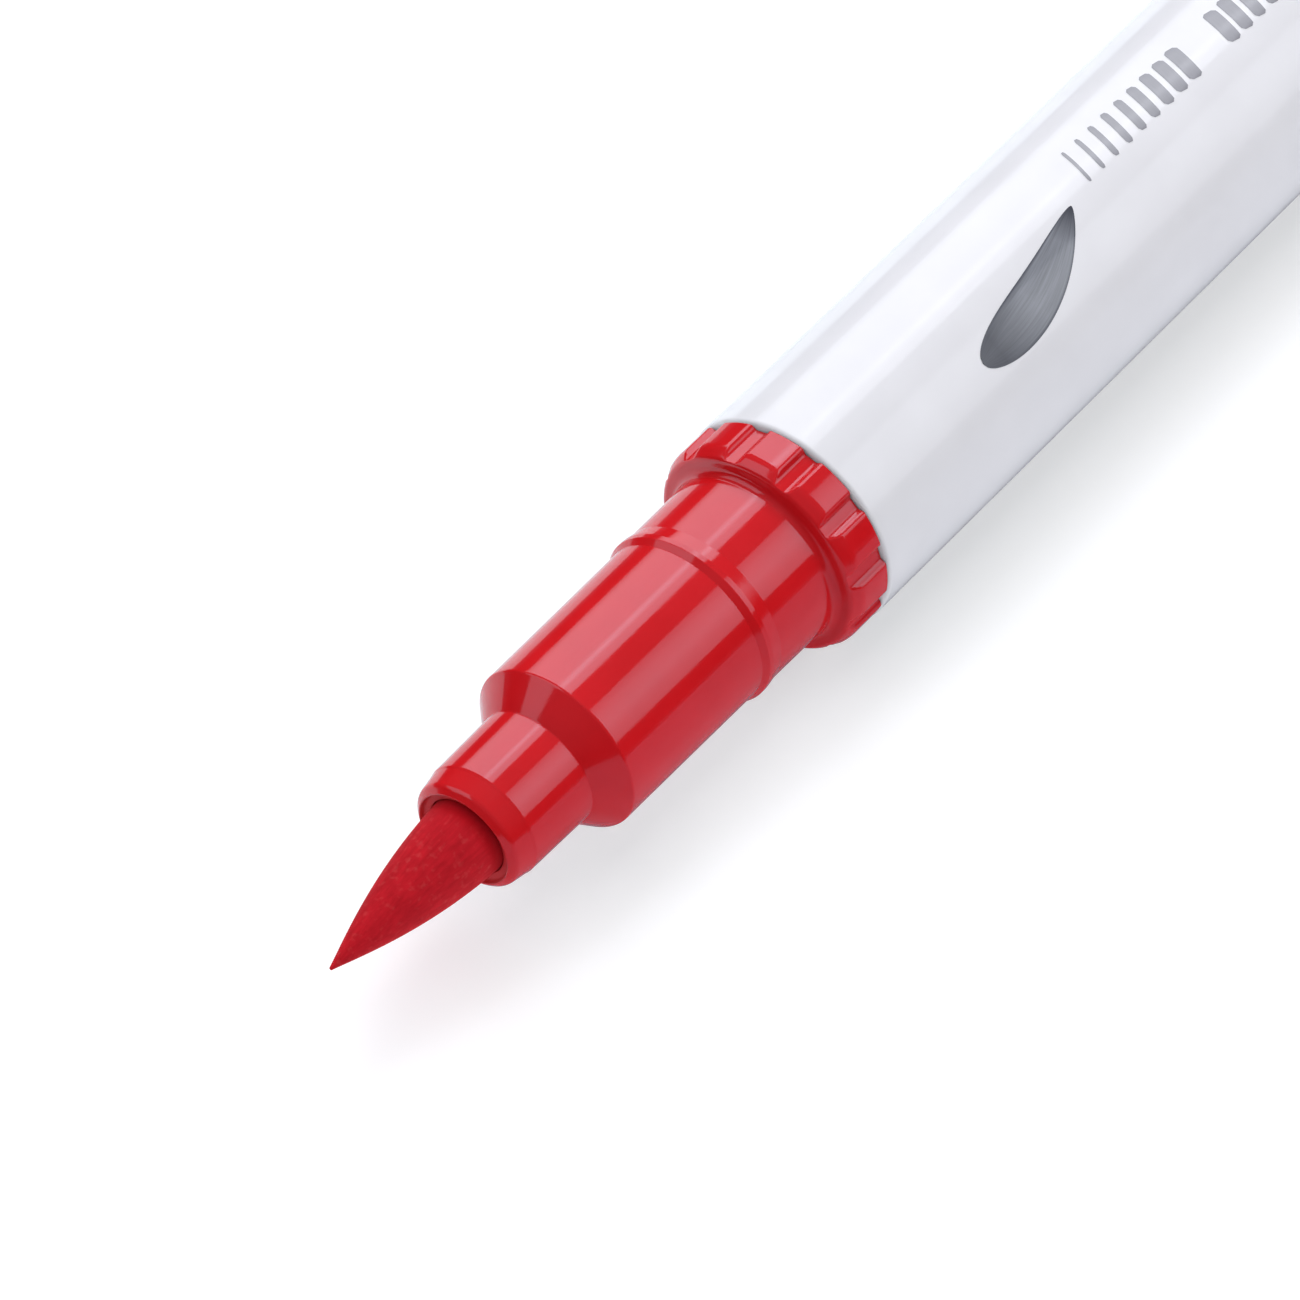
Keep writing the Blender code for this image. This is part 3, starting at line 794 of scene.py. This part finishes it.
# ---------------------------------------------------------------- stage
def make_floor():
    """A white table: the camera sees it white with the pen's shadow, and gloss mirrors its tones."""
    mesh = bpy.data.meshes.new("table")
    signs = [(-1, -1), (1, -1), (1, 1), (-1, 1)]
    corners = [(x * TABLE_REACH, y * TABLE_REACH, TABLE_DROP) for x, y in signs]
    mesh.from_pydata(corners, [], [(0, 1, 2, 3)])
    table = bpy.data.objects.new("table", mesh)
    bpy.context.collection.objects.link(table)
    m = Nodes("white_table")
    m.tree.nodes.remove(m.shader)
    place = m.add("ShaderNodeSeparateXYZ")
    m.join(m.add("ShaderNodeNewGeometry").outputs["Position"], place.inputs["Vector"])
    paper = m.add("ShaderNodeBsdfDiffuse")
    paper.inputs["Color"].default_value = (*PAPER, 1.0)
    below = m.add("ShaderNodeEmission")
    below.inputs["Strength"].default_value = BOUNCE_GLOW
    bounce = m.add("ShaderNodeAddShader")
    m.join(paper.outputs[0], bounce.inputs[0])
    m.join(below.outputs[0], bounce.inputs[1])
    mirrored = m.add("ShaderNodeBsdfDiffuse")
    across = m.rescale(place.outputs["Y"], -MIRROR_REACH, MIRROR_REACH, 0.0, 1.0)
    m.join(m.ramp(across, MIRRORED_TABLE), mirrored.inputs["Color"])
    shaded = m.add("ShaderNodeBsdfDiffuse")
    shaded.inputs["Color"].default_value = (*SHADOW, 1.0)
    glow = m.add("ShaderNodeEmission")
    glow.inputs["Color"].default_value = (*GLOW, 1.0)
    white = m.add("ShaderNodeAddShader")
    m.join(shaded.outputs[0], white.inputs[0])
    m.join(glow.outputs[0], white.inputs[1])
    path = m.add("ShaderNodeLightPath")
    seen = m.add("ShaderNodeMath", operation="MAXIMUM")
    m.join(path.outputs["Is Camera Ray"], seen.inputs[0])
    m.join(path.outputs["Is Transmission Ray"], seen.inputs[1])
    duller = m.add("ShaderNodeMixShader")
    m.join(path.outputs["Is Glossy Ray"], duller.inputs["Fac"])
    m.join(bounce.outputs[0], duller.inputs[1])
    m.join(mirrored.outputs[0], duller.inputs[2])
    both = m.add("ShaderNodeMixShader")
    m.join(seen.outputs[0], both.inputs["Fac"])
    m.join(duller.outputs[0], both.inputs[1])
    m.join(white.outputs[0], both.inputs[2])
    m.join(both.outputs[0], m.output.inputs["Surface"])
    mesh.materials.append(m.material)


def softbox(name, turn, spread, radiance, color, stops, start=170.0, end=820.0):
    """A soft light parallel to the pen, from start to end along it.

    turn and spread are its middle and width as angles around the pen; stops are its brightness
    across, from its edge away from the viewer to the near one.
    """
    width = 2 * SOFTBOX_DISTANCE * math.tan(math.radians(spread) / 2)
    light = bpy.data.lights.new(name, "AREA")
    light.shape = "RECTANGLE"
    light.size = (end - start) * MM
    light.size_y = width * MM
    light.energy = radiance * math.pi * light.size * light.size_y
    light.color = color
    light.use_nodes = True
    tree = light.node_tree
    emission = tree.nodes["Emission"]
    across = tree.nodes.new("ShaderNodeSeparateXYZ")
    place = tree.nodes.new("ShaderNodeNewGeometry")
    tree.links.new(place.outputs["Parametric"], across.inputs["Vector"])
    ramp = tree.nodes.new("ShaderNodeValToRGB")
    set_stops(ramp, [(share, (level, level, level)) for share, level in stops])
    flip = tree.nodes.new("ShaderNodeMath")
    flip.operation = "SUBTRACT"
    flip.inputs[0].default_value = 1.0
    tree.links.new(across.outputs["Y"], flip.inputs[1])
    tree.links.new(flip.outputs[0], ramp.inputs["Fac"])
    tree.links.new(ramp.outputs["Color"], emission.inputs["Color"])
    lamp = bpy.data.objects.new(name, light)
    bpy.context.collection.objects.link(lamp)
    angle = math.radians(turn)
    out = Vector((0.0, -math.sin(angle), math.cos(angle)))
    middle = Vector(((start + end) / 2, AXIS_Y, AXIS_Z))
    lamp.location = (middle + out * SOFTBOX_DISTANCE) * MM
    lamp.rotation_mode = "QUATERNION"
    along = Vector((1.0, 0.0, 0.0))
    rotation = Matrix((along, out.cross(along), out)).transposed()
    lamp.rotation_quaternion = rotation.to_quaternion()
    lamp.visible_camera = False
    return lamp


def hidden_light(name, radiance, lean, spread):
    """A soft light that shades the pen and the table but makes no reflection of its own."""
    light = bpy.data.lights.new(name, "AREA")
    light.shape = "SQUARE"
    light.size = 2 * HIDDEN_DISTANCE * math.tan(math.radians(spread) / 2) * MM
    light.energy = radiance * math.pi * light.size * light.size
    lamp = bpy.data.objects.new(name, light)
    bpy.context.collection.objects.link(lamp)
    out = Vector(lean).normalized()
    lamp.location = (Vector((0.0, AXIS_Y, AXIS_Z)) + out * HIDDEN_DISTANCE) * MM
    lamp.rotation_mode = "QUATERNION"
    lamp.rotation_quaternion = out.to_track_quat("Z", "Y")
    lamp.visible_camera = False
    lamp.visible_glossy = False


def make_camera():
    """The camera looks down on the tip's side of the pen."""
    azimuth, elevation = math.radians(CAMERA_AZIMUTH), math.radians(CAMERA_ELEVATION)
    data = bpy.data.cameras.new("camera")
    data.lens = CAMERA_LENS
    data.sensor_width = SENSOR_WIDTH
    camera = bpy.data.objects.new("camera", data)
    bpy.context.collection.objects.link(camera)
    level = math.cos(elevation)
    back = Vector((math.sin(azimuth) * level, -math.cos(azimuth) * level, math.sin(elevation)))
    rotation = (-back).to_track_quat("-Z", "Y")
    camera.rotation_mode = "QUATERNION"
    camera.rotation_quaternion = rotation
    seam = Vector((SEAM_X, AXIS_Y, AXIS_Z)) * MM
    camera.location = seam - rotation @ (Vector(SEAM_IN_VIEW) * MM)
    data.clip_start, data.clip_end = 0.01, 10.0
    bpy.context.scene.camera = camera


def make_world():
    """A dim grey room around the lights."""
    world = bpy.data.worlds.new("room")
    world.use_nodes = True
    tree = world.node_tree
    coords = tree.nodes.new("ShaderNodeTexCoord")
    height = tree.nodes.new("ShaderNodeSeparateXYZ")
    ramp = tree.nodes.new("ShaderNodeValToRGB")
    set_stops(ramp, [(0.12, ROOM_LOW), (0.8, ROOM_HIGH)])
    tree.links.new(coords.outputs["Generated"], height.inputs["Vector"])
    tree.links.new(height.outputs["Z"], ramp.inputs["Fac"])
    tree.links.new(ramp.outputs["Color"], tree.nodes["Background"].inputs["Color"])
    bpy.context.scene.world = world


def dress(piece, material, body, slot, *nodes):
    """Give a piece its material and body, and hide the CAD nodes it stands for; slot is not used."""
    piece.data.materials.append(material)
    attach(piece, body)
    if nodes:
        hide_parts(*nodes)


def recover(node, material):
    """Give a CAD node that no finer piece stands for a better material."""
    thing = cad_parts[node]
    thing.data.materials.clear()
    thing.data.materials.append(material)


def main():
    """Build the pen, the table, the lights and the camera."""
    cool_gloss = (0.68, 1.0, 1.12, 1.0)
    reds = (0.60, 0.006, 0.009), (0.65, 0.008, 0.012)
    red_cast = (0.58, 0.50, 0.50)
    red = moulded_plastic("red_plastic", *reds, 0.06, red_cast, Specular_Tint=cool_gloss)
    nose_red = moulded_plastic(
        "nose_plastic", *reds, 0.06, red_cast, dull_within=RECESS_R, Specular_Tint=cool_gloss
    )
    whites = (0.765, 0.753, 0.768), (0.795, 0.783, 0.798)
    white_cast = (0.36, 0.36, 0.36)
    white = moulded_plastic("white_plastic", *whites, 0.07, white_cast, Specular_IOR_Level=0.38)
    natural = moulded_plastic("natural_plastic", (0.72, 0.71, 0.66), (0.78, 0.77, 0.72), 0.35)
    dress(make_nib(), felt("nib_felt"), "pen", "nib_felt", "brush_nib")
    dress(make_nose(), nose_red, "pen", "red_plastic", "nose_section")
    dress(make_barrel(), white, "pen", "white_plastic", "barrel")
    wash_ink = print_ink("wash_ink", (0.055, 0.058, 0.075), (0.27, 0.28, 0.31))
    grey_ink = print_ink("grey_ink", (0.27, 0.265, 0.29), (0.31, 0.305, 0.33), 0.3)
    dress(wash_stroke(), wash_ink, "pen", "print_ink")
    dress(line_samples(), grey_ink, "pen", "print_ink")
    dress(make_tail(), red, "pen", "red_plastic", "tail_plug")
    dress(make_cap(), red, "cap", "red_plastic", "cap_shell")
    dress(make_crown(), red, "cap", "red_plastic", "cap_crown")
    arm, ring = make_clip()
    dress(arm, red, "cap", "red_plastic", "cap_clip")
    dress(ring, red, "cap", "red_plastic")
    recover("nib_sleeve", natural)
    recover("cap_seal_cup", natural)
    recover("reservoir_core", fibre_core("soaked_fibre"))
    film = moulded_plastic("wrap_film", (0.6, 0.3, 0.3), (0.66, 0.36, 0.36), 0.15)
    recover("reservoir_film", film)

    make_floor()
    cool = (0.96, 1.0, 1.07)
    hot_edge = [
        (0.0, 0.2),
        (0.15, 0.46),
        (0.35, 0.53),
        (0.68, 0.6),
        (0.76, 1.0),
        (0.84, 0.6),
        (1.0, 0.54),
    ]
    round_top = [(0.0, 0.5), (0.25, 0.85), (0.5, 1.0), (0.75, 0.75), (1.0, 0.6)]
    even = [(0.0, 0.8), (1.0, 1.0)]
    softbox("far_softbox", turn=-39.5, spread=66.0, radiance=4.8, color=cool, stops=hot_edge)
    softbox(
        "near_softbox", turn=47.3, spread=49.4, radiance=2.2, color=cool, stops=round_top, end=620.0
    )
    softbox(
        "end_softbox", turn=-42.5, spread=49.0, radiance=1.4, color=cool, stops=even,
        start=-700.0, end=-150.0,
    )
    hidden_light("overhead", radiance=2.25, lean=(0.0, 0.07, 1.0), spread=42.0)
    hidden_light("near_fill", radiance=0.38, lean=(0.15, -0.87, 0.55), spread=50.0)
    make_world()
    make_camera()
    bpy.context.scene.view_settings.view_transform = "Standard"


main()
